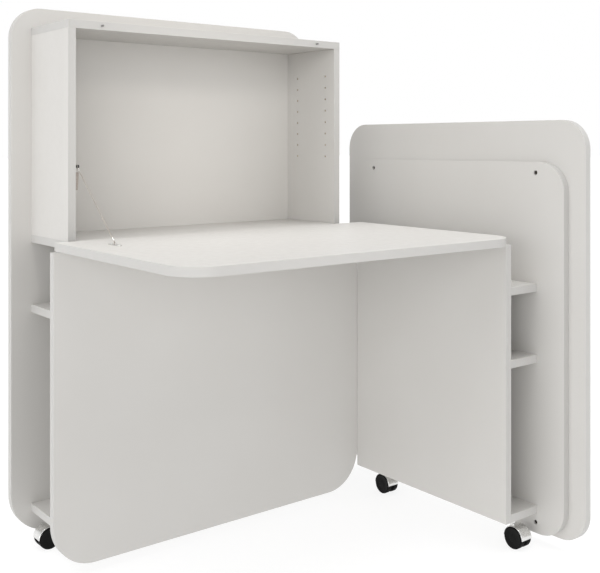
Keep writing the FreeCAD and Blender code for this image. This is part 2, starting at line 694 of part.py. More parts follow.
inset = size["castor_inset"]
reach = size["castor_reach"]
hutch_mounts = []
for side, x in (("left", box_l + inset), ("right", box_r - inset)):
    hutch_mounts.append(castor(f"castor_hutch_{side}", (x, back_y - reach, 0), 0))
nodes["castor_mounts_hutch"] = group("castor_mounts_hutch_set", hutch_mounts)
bay_x = (wing_front_face + inner_face) / 2
wing_mounts = []
for end, y in (("near", faces["wing_base"].YMin + inset), ("far", faces["wing_base"].YMax - inset)):
    wing_mounts.append(castor(f"castor_wing_{end}", (bay_x, y, 0), 90))
nodes["castor_mounts_wing"] = group("castor_mounts_wing_set", wing_mounts)

# ---------------------------------------------------------------- check and export
doc.recompute()
for obj in doc.Objects:
    assert not {"Invalid", "Error"} & set(obj.State), f"{obj.Name} failed: {obj.State}"
for name, obj in nodes.items():
    obj.Label = name
    assert not obj.Shape.isNull() and obj.Shape.isValid(), f"{name} has no valid shape"
for name, obj in nodes.items():
    obj.Shape.exportStep(f"parts/{name}.step")
print(len(nodes), "nodes")
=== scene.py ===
"""Looks of the fold-out desk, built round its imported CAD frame. Lengths are metres, in that frame."""

import math

import bpy
from mathutils import Matrix, Vector


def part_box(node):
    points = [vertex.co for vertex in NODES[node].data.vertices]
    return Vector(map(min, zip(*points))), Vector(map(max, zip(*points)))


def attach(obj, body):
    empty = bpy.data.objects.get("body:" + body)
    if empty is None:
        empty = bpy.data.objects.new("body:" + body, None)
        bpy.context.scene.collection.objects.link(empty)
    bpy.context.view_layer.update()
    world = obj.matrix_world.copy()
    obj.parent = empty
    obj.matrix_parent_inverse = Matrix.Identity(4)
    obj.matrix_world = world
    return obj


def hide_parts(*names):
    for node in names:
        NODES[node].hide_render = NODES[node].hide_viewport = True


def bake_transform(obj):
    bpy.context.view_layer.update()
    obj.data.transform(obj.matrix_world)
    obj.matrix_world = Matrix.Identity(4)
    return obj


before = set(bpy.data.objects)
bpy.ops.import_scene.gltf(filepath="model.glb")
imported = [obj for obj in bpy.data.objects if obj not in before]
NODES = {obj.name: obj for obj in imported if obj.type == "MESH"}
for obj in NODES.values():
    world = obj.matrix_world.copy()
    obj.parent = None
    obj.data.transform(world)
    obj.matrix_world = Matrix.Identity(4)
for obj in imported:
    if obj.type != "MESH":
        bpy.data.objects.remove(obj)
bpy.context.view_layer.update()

MM = 0.001

# ------------------------------------------------------------ camera
CAMERA_AT = (-1.3685, -1.7710, 0.9687)
CAMERA_YAW = -38.02
CAMERA_LENS = 56.43
CAMERA_SHIFT_Y = -0.237

camera_data = bpy.data.cameras.new("camera")
camera_data.sensor_width = 36
camera_data.sensor_fit = "HORIZONTAL"
camera_data.lens = CAMERA_LENS
camera_data.shift_y = CAMERA_SHIFT_Y
camera_data.clip_end = 200
camera = bpy.data.objects.new("camera", camera_data)
camera.location = CAMERA_AT
camera.rotation_euler = (math.radians(90), 0, math.radians(CAMERA_YAW))
bpy.context.scene.collection.objects.link(camera)
bpy.context.scene.camera = camera

# ------------------------------------------------------------ mesh tools


class Mesh:
    """Collects solids, each with its own material, into one object."""

    def __init__(self):
        self.verts = []
        self.faces = []
        self.slots = []

    def add(self, shape, matrix=Matrix(), slot=0):
        verts, faces = shape
        first = len(self.verts)
        flip = matrix.determinant() < 0
        self.verts += [matrix @ Vector(v) for v in verts]
        for face in faces:
            ring = [first + k for k in face]
            self.faces.append(ring[::-1] if flip else ring)
        self.slots += [slot] * len(faces)

    def join(self, other, matrix):
        """Adds what another Mesh has collected, each face with its own slot."""
        first = len(self.verts)
        self.verts += [matrix @ v for v in other.verts]
        self.faces += [[first + k for k in face] for face in other.faces]
        self.slots += other.slots

    def build(self, name, body, materials, record_slot, replaces=(), sharp=35):
        data = bpy.data.meshes.new(name)
        data.from_pydata([tuple(v) for v in self.verts], [], self.faces)
        for material in materials:
            data.materials.append(material)
        data.polygons.foreach_set("material_index", self.slots)
        data.polygons.foreach_set("use_smooth", [True] * len(data.polygons))
        data.update()
        data.set_sharp_from_angle(angle=math.radians(sharp))
        made = bpy.data.objects.new(name, data)
        bpy.context.scene.collection.objects.link(made)
        if body:
            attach(made, body)
        if replaces:
            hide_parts(*replaces)
        return made


def mm(points):
    """Points given in millimetres, in metres."""
    return [tuple(value * MM for value in point) for point in points]


def skin(count, levels, clockwise=False):
    """Faces round a stack of rings with count points each, and a cap at both ends."""
    faces = [list(reversed(range(count)))]
    for low in range(0, (levels - 1) * count, count):
        high = low + count
        for k in range(count):
            n = (k + 1) % count
            faces.append([low + k, low + n, high + n, high + k])
    faces.append([(levels - 1) * count + k for k in range(count)])
    if clockwise:
        faces = [face[:1] + face[:0:-1] for face in faces]
    return faces


def turned(profile, steps=48):
    """A solid turned about Z from (radius, height) points, from the bottom of the axis up to its top."""
    verts = []
    rings = []
    for radius, height in profile:
        if radius < 1e-9:
            rings.append([len(verts)])
            verts.append((0, 0, height))
            continue
        rings.append(list(range(len(verts), len(verts) + steps)))
        for k in range(steps):
            angle = math.tau * k / steps
            verts.append((radius * math.cos(angle), radius * math.sin(angle), height))
    faces = []
    for low, high in zip(rings, rings[1:]):
        for k in range(steps):
            n = (k + 1) % steps
            if len(low) == 1:
                faces.append([low[0], high[n], high[k]])
            elif len(high) == 1:
                faces.append([low[k], low[n], high[0]])
            else:
                faces.append([low[k], low[n], high[n], high[k]])
    if len(rings[0]) > 1 and len(rings[-1]) > 1:
        for k in range(steps):
            n = (k + 1) % steps
            faces.append([rings[-1][k], rings[-1][n], rings[0][n], rings[0][k]])
    return verts, faces


def swept(section, steps, start, end):
    """A closed section of (radius, height) points swept about Z from start to end, with both ends capped."""
    verts = []
    for k in range(steps + 1):
        angle = start + (end - start) * k / steps
        verts += [(r * math.cos(angle), r * math.sin(angle), h) for r, h in section]
    return verts, skin(len(section), steps + 1, clockwise=True)


def prism(outline, low, high, bevel=0.0):
    """An outline of (x, y) points, anticlockwise, raised from low to high with softened rims."""
    count = len(outline)
    centre = (sum(x for x, _ in outline) / count, sum(y for _, y in outline) / count)
    levels = [(low, 0), (high, 0)]
    if bevel:
        levels = [(low, bevel), (low + bevel, 0), (high - bevel, 0), (high, bevel)]
    verts = []
    for height, inset in levels:
        for x, y in outline:
            away = math.hypot(x - centre[0], y - centre[1])
            shrink = 1 - inset / away
            verts.append((centre[0] + (x - centre[0]) * shrink, centre[1] + (y - centre[1]) * shrink, height))
    return verts, skin(count, len(levels))


def rounded_rectangle(width, height, radius, steps=6):
    """An outline about the origin, anticlockwise."""
    points = []
    for turn, (sx, sy) in enumerate(((1, 1), (-1, 1), (-1, -1), (1, -1))):
        cx, cy = sx * (width / 2 - radius), sy * (height / 2 - radius)
        for k in range(steps + 1):
            angle = math.pi / 2 * (turn + k / steps)
            points.append((cx + radius * math.cos(angle), cy + radius * math.sin(angle)))
    return points


def tube(points, radius, sides=10):
    """A round rod along points, with flat ends."""
    points = [Vector(p) for p in points]
    verts = []
    up = Vector((0, 0, 1)) if abs((points[1] - points[0]).normalized().z) < 0.9 else Vector((1, 0, 0))
    for k, point in enumerate(points):
        ahead = points[min(k + 1, len(points) - 1)] - points[max(k - 1, 0)]
        ahead.normalize()
        side = ahead.cross(up).normalized()
        up = side.cross(ahead).normalized()
        for s in range(sides):
            angle = math.tau * s / sides
            verts.append(point + (side * math.cos(angle) + up * math.sin(angle)) * radius)
    return [tuple(v) for v in verts], skin(sides, len(points), clockwise=True)


def hexagon(angle, size):
    """How far a hexagonal recess reaches from its axis at an angle. size is its corner radius."""
    return size * math.cos(math.pi / 6) / math.cos(angle % (math.pi / 3) - math.pi / 6)


def cross(angle, size):
    """How far a cross-shaped recess reaches from its axis at an angle."""
    half = 0.3 * size
    fold = angle % (math.pi / 2)
    fold = min(fold, math.pi / 2 - fold)
    return size / math.cos(fold) if math.tan(fold) < half / size else half / math.sin(fold)


def screw_head(radius, height, drive, drive_size, depth, steps=48):
    """A low domed head on z = 0 with a driving recess of the given outline."""
    rings = [
        [(radius, 0.0)] * steps,
        [(radius, height * 0.35)] * steps,
        [(radius * 0.93, height * 0.72)] * steps,
        [(radius * 0.78, height * 0.94)] * steps,
        [(radius * 0.66, height)] * steps,
    ]
    edge = [drive(math.tau * k / steps, drive_size) for k in range(steps)]
    rings.append([(r, height) for r in edge])
    rings.append([(r * 0.9, height - depth) for r in edge])
    verts = []
    for ring in rings:
        for k, (r, h) in enumerate(ring):
            angle = math.tau * k / steps
            verts.append((r * math.cos(angle), r * math.sin(angle), h))
    return verts, skin(steps, len(rings))


def facing(direction, at):
    """Turns local +Z towards a direction and moves the origin to a point."""
    return Matrix.Translation(Vector(at)) @ Vector(direction).to_track_quat("Z", "Y").to_matrix().to_4x4()


# ------------------------------------------------------------ materials
class Nodes:
    """A material under construction: constants on its shader, textures in the object's own coordinates."""

    def __init__(self, name, roughness, metallic=0.0, **sockets):
        self.material = bpy.data.materials.new(name)
        self.material.use_nodes = True
        self.tree = self.material.node_tree
        self.shader = self.tree.nodes["Principled BSDF"]
        self.shader.inputs["Roughness"].default_value = roughness
        self.shader.inputs["Metallic"].default_value = metallic
        for socket, value in sockets.items():
            self.shader.inputs[socket.replace("_", " ")].default_value = value
        self.coordinates = self.node("ShaderNodeTexCoord")

    def node(self, kind, **settings):
        made = self.tree.nodes.new(kind)
        for key, value in settings.items():
            setattr(made, key, value)
        return made

    def link(self, source, target):
        self.tree.links.new(source, target)

    def noise(self, scale, detail=3, stretch=(1, 1, 1)):
        mapping = self.node("ShaderNodeMapping")
        mapping.inputs["Scale"].default_value = stretch
        self.link(self.coordinates.outputs["Object"], mapping.inputs["Vector"])
        texture = self.node("ShaderNodeTexNoise")
        texture.inputs["Scale"].default_value = scale
        texture.inputs["Detail"].default_value = detail
        self.link(mapping.outputs["Vector"], texture.inputs["Vector"])
        return texture.outputs["Fac"]

    def math(self, operation, first, second=0.0):
        made = self.node("ShaderNodeMath", operation=operation)
        for socket, value in zip(made.inputs, (first, second)):
            if isinstance(value, (int, float)):
                socket.default_value = value
            else:
                self.link(value, socket)
        return made.outputs[0]

    def span(self, value, *limits):
        """Maps a value from the first two limits onto the last two."""
        made = self.node("ShaderNodeMapRange")
        for socket, limit in zip(list(made.inputs)[1:5], limits):
            socket.default_value = limit
        self.link(value, made.inputs[0])
        return made.outputs[0]

    def mix(self, factor, first, second):
        made = self.node("ShaderNodeMix", data_type="RGBA")
        self.link(factor, made.inputs["Factor"])
        for socket, value in ((made.inputs[6], first), (made.inputs[7], second)):
            if isinstance(value, tuple):
                socket.default_value = (*value, 1)
            else:
                self.link(value, socket)
        return made.outputs[2]

    def colour(self, source):
        self.link(source, self.shader.inputs["Base Color"])

    def roughness(self, value, low, high):
        """Lets a noise value move the roughness between two limits."""
        self.link(self.span(value, 0.3, 0.7, low, high), self.shader.inputs["Roughness"])

    def bump(self, value, strength, distance):
        made = self.node("ShaderNodeBump")
        made.inputs["Strength"].default_value = strength
        made.inputs["Distance"].default_value = distance
        self.link(value, made.inputs["Height"])
        self.link(made.outputs["Normal"], self.shader.inputs["Normal"])


MELAMINE = (0.575, 0.563, 0.542)
MELAMINE_SHADE = (0.567, 0.554, 0.532)
EDGE_BAND = (0.492, 0.484, 0.468)
SEAM = (0.47, 0.46, 0.44)
CHIPBOARD = (0.42, 0.31, 0.19)
CHIP_FLAKE = (0.62, 0.50, 0.36)


def melamine(name, thin_axis, drilled=None):
    """White melamine with banded edges. drilled is a board's box: faces well inside it are bare chipboard."""
    made = Nodes(name, roughness=0.42, Specular_IOR_Level=0.45)
    cloud = made.noise(5, detail=2)
    pearl = made.noise(1400, detail=2)
    face = made.mix(made.span(cloud, 0.35, 0.65, 0, 1), MELAMINE, MELAMINE_SHADE)
    speck = made.mix(made.span(pearl, 0.55, 0.8, 0, 0.15), face, SEAM)
    split = made.node("ShaderNodeSeparateXYZ")
    made.link(made.coordinates.outputs["Normal"], split.inputs[0])
    across = made.math("ABSOLUTE", split.outputs[thin_axis])
    # across is 1 on the board's faces and 0 on its edges, with the glue seam on the rounding between them
    banded = made.mix(made.span(across, 0.45, 0.55, 1, 0), speck, EDGE_BAND)
    rise = made.span(across, 0.80, 0.87, 0, 1)
    fall = made.span(across, 0.93, 0.985, 1, 0)
    seam = made.math("MULTIPLY", made.math("MULTIPLY", rise, fall), 0.30)
    finished = made.mix(seam, banded, SEAM)
    if drilled:
        place = made.node("ShaderNodeSeparateXYZ")
        made.link(made.coordinates.outputs["Object"], place.inputs[0])
        depth = None
        for axis in range(3):
            middle = (drilled[0][axis] + drilled[1][axis]) / 2
            half = (drilled[1][axis] - drilled[0][axis]) / 2
            off = made.math("ABSOLUTE", made.math("SUBTRACT", place.outputs[axis], middle))
            inside = made.math("SUBTRACT", half, off)
            depth = inside if depth is None else made.math("MINIMUM", depth, inside)
        core = made.span(depth, 0.0004, 0.0007, 0, 1)
        grain = made.mix(made.noise(900, detail=4), CHIPBOARD, CHIP_FLAKE)
        finished = made.mix(core, finished, grain)
    made.colour(finished)
    made.roughness(made.noise(60, detail=4), 0.38, 0.50)
    coarse = made.noise(420, detail=1)
    texture = made.math("ADD", made.math("MULTIPLY", pearl, 0.4), made.math("MULTIPLY", coarse, 0.6))
    made.bump(texture, 0.05, 0.0004)
    return made.material


def metal(name, colour, dark, roughness, scale=500):
    made = Nodes(name, roughness=roughness, metallic=1.0)
    streak = made.noise(scale)
    made.colour(made.mix(made.span(streak, 0.3, 0.7, 0, 1), colour, dark))
    made.roughness(streak, max(0.04, roughness - 0.06), roughness + 0.08)
    made.bump(streak, 0.05, 0.0001)
    return made.material


def plastic(name, colour, worn, roughness, *, scale=700, strength=0.12, wear=0.25, gloss=0.5):
    made = Nodes(name, roughness=roughness, Specular_IOR_Level=gloss)
    grit = made.noise(scale)
    scuff = made.noise(90, detail=5)
    made.colour(made.mix(made.span(scuff, 0.5, 0.75, 0, wear), colour, worn))
    made.roughness(grit, roughness - 0.05, roughness + 0.08)
    made.bump(grit, strength, 0.0002)
    return made.material


def beech(name):
    made = Nodes(name, roughness=0.55)
    grain = made.noise(90, detail=6, stretch=(1, 1, 0.08))
    made.colour(made.mix(made.span(grain, 0.35, 0.65, 0, 1), (0.62, 0.44, 0.26), (0.50, 0.33, 0.18)))
    made.bump(grain, 0.2, 0.0002)
    return made.material


ZINC = metal("zinc_plate", (0.62, 0.62, 0.61), (0.50, 0.50, 0.49), 0.34)
NICKEL = metal("nickel_plate", (0.70, 0.69, 0.67), (0.58, 0.57, 0.55), 0.18)
DARK_STEEL = metal("dark_steel", (0.055, 0.055, 0.058), (0.035, 0.035, 0.038), 0.34)
WIRE = metal("stay_wire_strands", (0.46, 0.42, 0.38), (0.33, 0.30, 0.27), 0.38, scale=900)
STRAP = metal("stay_strap", (0.42, 0.37, 0.33), (0.34, 0.30, 0.27), 0.42, scale=400)
SILVER = metal("castor_hood_silver", (0.80, 0.80, 0.79), (0.72, 0.72, 0.71), 0.24, scale=260)
NYLON = plastic("castor_nylon", (0.005, 0.005, 0.005), (0.012, 0.012, 0.012), 0.48, gloss=0.10)
TREAD = plastic(
    "castor_tread", (0.006, 0.006, 0.006), (0.016, 0.015, 0.014), 0.62,
    scale=500, strength=0.3, wear=0.5, gloss=0.08,
)
CATCH_GREY = plastic("catch_plastic", (0.42, 0.42, 0.41), (0.50, 0.50, 0.49), 0.42)
CATCH_RUBBER = plastic("catch_buffer", (0.19, 0.185, 0.18), (0.25, 0.245, 0.24), 0.60)
BEECH = beech("beech")
# near-black screw heads: partly the screws' own dark steel, partly painted shade standing in for the shade
# inside their sunk holes
DARK_SCREW_WITH_PAINTED_SHADE = metal("screw_steel_dark_with_painted_recess_shade", (0.085, 0.064, 0.050), (0.045, 0.035, 0.028), 0.42)


def dress(node, material):
    data = NODES[node].data
    data.materials.clear()
    data.materials.append(material)


# each board under the axis across its thickness
THIN = {
    0: (
        "box_left_side", "box_right_side", "centre_divider",
        "wing_front_panel", "wing_inner_panel", "wing_outer_panel",
    ),
    1: ("back_panel", "front_panel"),
    2: (
        "box_top", "box_floor", "base_board", "lower_shelf_left", "lower_shelf_right", "flap",
        "wing_base", "wing_lower_shelf", "wing_upper_shelf",
    ),
}
DRILLED = ("box_left_side", "box_right_side", "box_top")
for axis, boards in THIN.items():
    shared = melamine("melamine_thin_" + "xyz"[axis], axis)
    for board in boards:
        if board in DRILLED:
            dress(board, melamine("melamine_" + board, axis, drilled=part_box(board)))
        else:
            dress(board, shared)
for node in NODES:
    if "hinge" in node or "axle" in node:
        dress(node, ZINC)
    if "dowels" in node:
        dress(node, BEECH)

# ------------------------------------------------------------ castors
# millimetres in a castor's own frame: its stem on Z, the floor at z = 0, the axle along Y at x = -TRAIL
TRAIL = 14
AXLE_HEIGHT = 26
HOOD_INNER, HOOD_OUTER, HOOD_HALF = 26.55, 28.0, 18.0
WEB_RADIUS, WEB_HALF, HUB_RADIUS = 26.7, 3.3, 7.0
BOSS_FOOT = 27.3
PLATE_SIZE, PLATE_CORNER, PLATE_LOW, PLATE_TOP = 38, 4, 73.5, 76
PLATE_SCREW = 14
AXLE_AT = Matrix.Translation((-TRAIL * MM, 0, AXLE_HEIGHT * MM))


def castor_wheel():
    """One wheel about Z, its inner face towards z = 0: nylon core, then tread."""
    core = [
        (0, 4.6), (9.0, 4.6), (9.6, 4.9), (10.0, 6.2), (20.8, 6.2), (21.4, 5.0), (24.4, 5.0), (24.4, 18.5),
        (23.6, 18.85), (22.0, 18.95), (21.4, 18.65), (9.4, 18.55), (8.9, 18.9), (8.0, 19.0), (0, 19.0),
    ]
    tread = [
        (24.4, 5.0), (25.2, 5.1), (25.75, 5.6), (25.95, 6.6), (26.0, 8.0), (26.0, 15.9),
        (25.95, 17.1), (25.7, 18.0), (25.1, 18.5), (24.4, 18.55),
    ]
    return turned(mm(core), 72), turned(mm(tread), 72)


def hood_band():
    """The bright band over both wheels, a half turn about Z."""
    inner, outer, half = HOOD_INNER, HOOD_OUTER, HOOD_HALF
    section = [
        (inner, 0.5 - half), (inner + 0.2, 0.15 - half), (inner + 0.7, -half), (outer - 0.5, 0.15 - half),
        (outer - 0.12, 0.7 - half), (outer, 2.0 - half), (outer, half - 2.0), (outer - 0.12, half - 0.7),
        (outer - 0.5, half - 0.15), (inner + 0.7, half), (inner + 0.2, half - 0.15), (inner, half - 0.5),
    ]
    return swept(mm(section), 56, -math.pi, 0)


def hood_web():
    """The dark web between the wheels, with the axle's hub below it."""
    outline = []
    for k in range(37):
        angle = math.pi * k / 36
        outline.append((WEB_RADIUS * math.cos(angle), WEB_RADIUS * math.sin(angle)))
    for k in range(1, 24):
        angle = math.pi + math.pi * k / 24
        outline.append((HUB_RADIUS * math.cos(angle), HUB_RADIUS * math.sin(angle)))
    return prism(mm(outline), -WEB_HALF * MM, WEB_HALF * MM)


def hood_boss(steps=40):
    """The boss round the stem. Its foot follows the band, and a blind hole in its top takes the stem."""
    profile = ((7.4, None), (7.4, 65.6), (7.1, 66.6), (6.4, 67.3), (4.3, 67.4), (4.3, 60.0))
    verts = []
    for radius, height in profile:
        for k in range(steps):
            angle = math.tau * k / steps
            x, y = radius * math.cos(angle), radius * math.sin(angle)
            z = AXLE_HEIGHT + math.sqrt(BOSS_FOOT ** 2 - (x + TRAIL) ** 2) if height is None else height
            verts.append((x, y, z))
    return mm(verts), skin(steps, len(profile))


def castor_mount():
    """Plate, screws and stem under the base board, in the castor's frame."""
    outline = rounded_rectangle(PLATE_SIZE * MM, PLATE_SIZE * MM, PLATE_CORNER * MM)
    stem = [
        (0, 60.5), (3.6, 60.5), (4.0, 61.0), (4.0, 68.2), (5.2, 68.3), (5.4, 68.7), (5.4, 70.0), (5.1, 70.4),
        (4.0, 70.5), (4.0, 72.6), (7.2, 73.2), (7.6, 73.6), (0, 73.7),
    ]
    made = Mesh()
    made.add(prism(outline, PLATE_LOW * MM, PLATE_TOP * MM, bevel=0.3 * MM))
    made.add(turned(mm(stem), 40))
    head = screw_head(3.1 * MM, 1.3 * MM, cross, 1.7 * MM, 0.9 * MM)
    downward = Matrix.Rotation(math.pi, 4, "X")
    for x in (-PLATE_SCREW, PLATE_SCREW):
        for y in (-PLATE_SCREW, PLATE_SCREW):
            made.add(head, Matrix.Translation((x * MM, y * MM, PLATE_LOW * MM)) @ downward, slot=1)
    return made


WHEEL_CORE, WHEEL_TREAD = castor_wheel()
CASTOR_BODY = {
    "hutch_left": "hutch", "hutch_right": "hutch", "wing_near": "side_wing", "wing_far": "side_wing",
}
mounts = {"hutch": Mesh(), "side_wing": Mesh()}
for name, body in CASTOR_BODY.items():
    low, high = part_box(f"castor_{name}_axle")
    axle = (low + high) / 2
    turn = Matrix.Rotation(math.radians(90 if body == "side_wing" else 0), 4, "Z")
    stem = axle + turn @ Vector((TRAIL * MM, 0, 0))
    spot = Matrix.Translation((stem.x, stem.y, 0)) @ turn
    hood = Mesh()
    # after the turn, the sweep's angle runs from +X down through -Z, so the top half is the negative angles
    hood.add(hood_band(), spot @ AXLE_AT @ Matrix.Rotation(math.radians(-90), 4, "X"))
    hood.add(hood_web(), spot @ AXLE_AT @ Matrix.Rotation(math.radians(90), 4, "X"), slot=1)
    hood.add(hood_boss(), spot)
    hood.build(
        f"castor_{name}_hood_shell", f"castor_{name}_swivel", [SILVER, NYLON], "castor_hood",
        [f"castor_{name}_hood"],
    )
    wheels = Mesh()
    for side in (-90, 90):
        facing_out = spot @ AXLE_AT @ Matrix.Rotation(math.radians(side), 4, "X")
        wheels.add(WHEEL_CORE, facing_out, slot=0)
        wheels.add(WHEEL_TREAD, facing_out, slot=1)
    wheels.build(
        f"castor_{name}_twin_wheels", f"castor_{name}_wheel_pair", [NYLON, TREAD], "castor_wheel",
        [f"castor_{name}_wheels"], sharp=28,
    )
    mounts[body].join(castor_mount(), spot)
for body, side in (("hutch", "hutch"), ("side_wing", "wing")):
    mounts[body].build(
        f"castor_plates_{side}", body, [NICKEL, ZINC], "castor_steel", [f"castor_mounts_{side}"]
    )

# ------------------------------------------------------------ screws between the wing's tall panels
PANEL_SCREW_RADIUS = 5.5 * MM  # of the sunk head in CAD
PANEL_HEAD_HEIGHT = 2.4 * MM

panel_screws = Mesh()
low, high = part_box("wing_panel_screws")
head = screw_head(5.4 * MM, PANEL_HEAD_HEIGHT, hexagon, 2.4 * MM, 1.7 * MM)
shank = turned(mm([(0, 0), (2.1, 0), (2.1, 18), (0, 21)]), 24)
for y in (low.y + PANEL_SCREW_RADIUS, high.y - PANEL_SCREW_RADIUS):
    for z in (low.z + PANEL_SCREW_RADIUS, high.z - PANEL_SCREW_RADIUS):
        seat = (low.x + PANEL_HEAD_HEIGHT, y, z)
        panel_screws.add(head, facing((-1, 0, 0), seat))
        panel_screws.add(shank, facing((1, 0, 0), seat))
# the screw heads' near-black colour is partly their own dark steel and partly painted shade for their sunk
# holes
panel_screws.build("wing_connecting_screws", "side_wing", [DARK_SCREW_WITH_PAINTED_SHADE], "screw_steel", ["wing_panel_screws"])

# ------------------------------------------------------------ door catches
CATCH_RADIUS = 3.2 * MM

catches = Mesh()
low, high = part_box("door_catches")
catch_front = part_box("box_top")[0].y
tip = (catch_front - low.y) / MM
collar = turned(mm([(0, -6), (3.1, -6), (3.1, 0), (3.1, 0.3), (2.8, 0.6), (0, 0.6)]), 40)
plunger = turned(mm([
    (0, 0.5), (2.0, 0.5), (2.0, tip - 3.2), (2.2, tip - 2.9), (2.2, tip - 1.0), (1.9, tip - 0.35),
    (1.2, tip), (0, tip),
]), 40)
for x in (low.x + CATCH_RADIUS, high.x - CATCH_RADIUS):
    outward = facing((0, -1, 0), (x, catch_front, (low.z + high.z) / 2))
    catches.add(collar, outward, slot=0)
    catches.add(plunger, outward, slot=1)
catches.build("door_catch_plungers", "hutch", [CATCH_GREY, CATCH_RUBBER], "catch_plastic", ["door_catches"])

# ------------------------------------------------------------ wire stay
PLATE_THICKNESS = 2.2 * MM  # of the strap on the box's side
STUD_BELOW_TOP = 8 * MM
FLANGE_BELOW_STUD = 13 * MM
FLANGE_LENGTH = 41 * MM
FLANGE_TAPER = 2.5 * MM
FLANGE_HALF = 0.9 * MM
FLANGE_ROUND = 2 * MM
STAY_SCREW_RADIUS = 3.2 * MM
stay_screw = screw_head(STAY_SCREW_RADIUS, 1.5 * MM, cross, 1.8 * MM, 1.0 * MM)

low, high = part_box("stay_side_bracket")
side_face = low.x
stud_y = (low.y + high.y) / 2
stud_z = high.z - STUD_BELOW_TOP
strap_width = high.y - low.y
bracket = Mesh()
strap = rounded_rectangle(high.z - low.z, strap_width, strap_width / 2 - 0.2 * MM, steps=10)
# the strap's outline runs along Z and is raised along X
on_side = Matrix.Translation((side_face, stud_y, (low.z + high.z) / 2)) @ Matrix(
    ((0, 0, 1, 0), (0, 1, 0, 0), (1, 0, 0, 0), (0, 0, 0, 1))
)
bracket.add(prism(strap, 0, PLATE_THICKNESS, bevel=0.35 * MM), on_side, slot=1)
stud = [
    (0, 0), (4.0, 0), (4.0, 3.0), (3.6, 3.5), (2.9, 4.0), (2.7, 4.6), (2.7, 8.2), (3.2, 8.6), (3.8, 9.1),
    (4.0, 9.8), (4.0, 10.4), (3.7, 11.2), (3.0, 11.7), (1.8, 11.95), (0, 12.0),
]
bracket.add(turned(mm(stud), 40), facing((1, 0, 0), (side_face, stud_y, stud_z)))


def flange_outline(reach, foot, top):
    """The flange under the stud, narrower at its foot, with both outer corners rounded."""
    corner = []
    for k in range(7):
        angle = math.pi / 2 * k / 6
        corner.append((FLANGE_ROUND * (1 - math.cos(angle)), FLANGE_ROUND * (1 - math.sin(angle))))
    low_corner = [(reach - FLANGE_TAPER - x, foot + y) for x, y in reversed(corner)]
    high_corner = [(reach - x, top - y) for x, y in corner]
    return [(0.5 * MM, foot), *low_corner, *high_corner, (0.5 * MM, top)]


flange_top = stud_z - FLANGE_BELOW_STUD
flange = flange_outline(high.x - side_face - 0.5 * MM, flange_top - FLANGE_LENGTH, flange_top)
# the flange's outline stands in the XZ plane
upright_plate = Matrix(((1, 0, 0, side_face), (0, 0, -1, stud_y), (0, 1, 0, 0), (0, 0, 0, 1)))
bracket.add(prism(flange, -FLANGE_HALF, FLANGE_HALF), upright_plate, slot=1)
screw_low, screw_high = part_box("stay_side_screw")
seat = (side_face + PLATE_THICKNESS, stud_y, (screw_low.z + screw_high.z) / 2)
bracket.add(stay_screw, facing((1, 0, 0), seat), slot=1)
bracket.build(
    "stay_stud_plate", "hutch", [DARK_STEEL, STRAP], "stay_dark_steel",
    ["stay_side_bracket", "stay_side_screw"],
)

FLAP_PLATE_THICKNESS = 1.5 * MM
LUG_HOLE_HEIGHT = 5.0 * MM

low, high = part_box("stay_flap_bracket")
flap_plate = Mesh()
plate_x, plate_y = (low.x + high.x) / 2, (low.y + high.y) / 2
on_flap = Matrix.Translation((plate_x, plate_y, low.z))
outline = rounded_rectangle(high.x - low.x, high.y - low.y, 5.6 * MM, steps=10)
flap_plate.add(prism(outline, 0, FLAP_PLATE_THICKNESS, bevel=0.3 * MM), on_flap)
lug = []
for k in range(19):
    angle = math.pi * k / 18
    lug.append((4.6 * math.cos(angle), 5.0 + 4.0 * math.sin(angle)))
lug += [(-5.0, 0.8), (5.0, 0.8)]
# the lug's outline stands in the YZ plane
upright_lug = on_flap @ Matrix(((0, 0, 1, 0), (1, 0, 0, 0), (0, 1, 0, 0), (0, 0, 0, 1)))
flap_plate.add(prism(mm(lug), -1.0 * MM, 1.0 * MM, bevel=0.25 * MM), upright_lug)
screw_low, screw_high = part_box("stay_flap_screws")
for y in (screw_low.y + STAY_SCREW_RADIUS, screw_high.y - STAY_SCREW_RADIUS):
    flap_plate.add(stay_screw, Matrix.Translation((plate_x, y, low.z + FLAP_PLATE_THICKNESS)), slot=1)
flap_plate.build(
    "stay_flap_plate", "worktop_flap", [NICKEL, ZINC], "stay_steel",
    ["stay_flap_bracket", "stay_flap_screws"],
)

# the rope: a loop round the stud, a crimped sleeve, a laid run and the same again at the flap
STRAND = 0.36 * MM
OUTER_STRANDS = 6
LAY = 9 * MM
RING_STEP = 1.1 * MM
LOOP_WIRE = 0.62 * MM
SLEEVE = 9 * MM
STUD_NECK = 7 * MM  # from the box's side to the middle of the stud's neck
STUD_TO_SLEEVE = 7.7 * MM
LUG_TO_SLEEVE = 6 * MM
stud_at = Vector((side_face + STUD_NECK, stud_y, stud_z))
lug_at = Vector((plate_x, plate_y, low.z + LUG_HOLE_HEIGHT))
run = (lug_at - stud_at).normalized()
top = stud_at + run * STUD_TO_SLEEVE
bottom = lug_at - run * LUG_TO_SLEEVE
aim = run.to_track_quat("Z", "Y").to_matrix().to_4x4()


def loop(centre, radius, tail, axis):
    """Points once round a centre, from a tail point and back to it."""
    away = (tail - centre).normalized()
    side = axis.cross(away).normalized()
    opening = math.radians(35)
    points = [tail + side * 0.45 * MM]
    for k in range(25):
        angle = opening + (math.tau - 2 * opening) * k / 24
        points.append(centre + away * math.cos(angle) * radius + side * math.sin(angle) * radius)
    points.append(tail - side * 0.45 * MM)
    return points


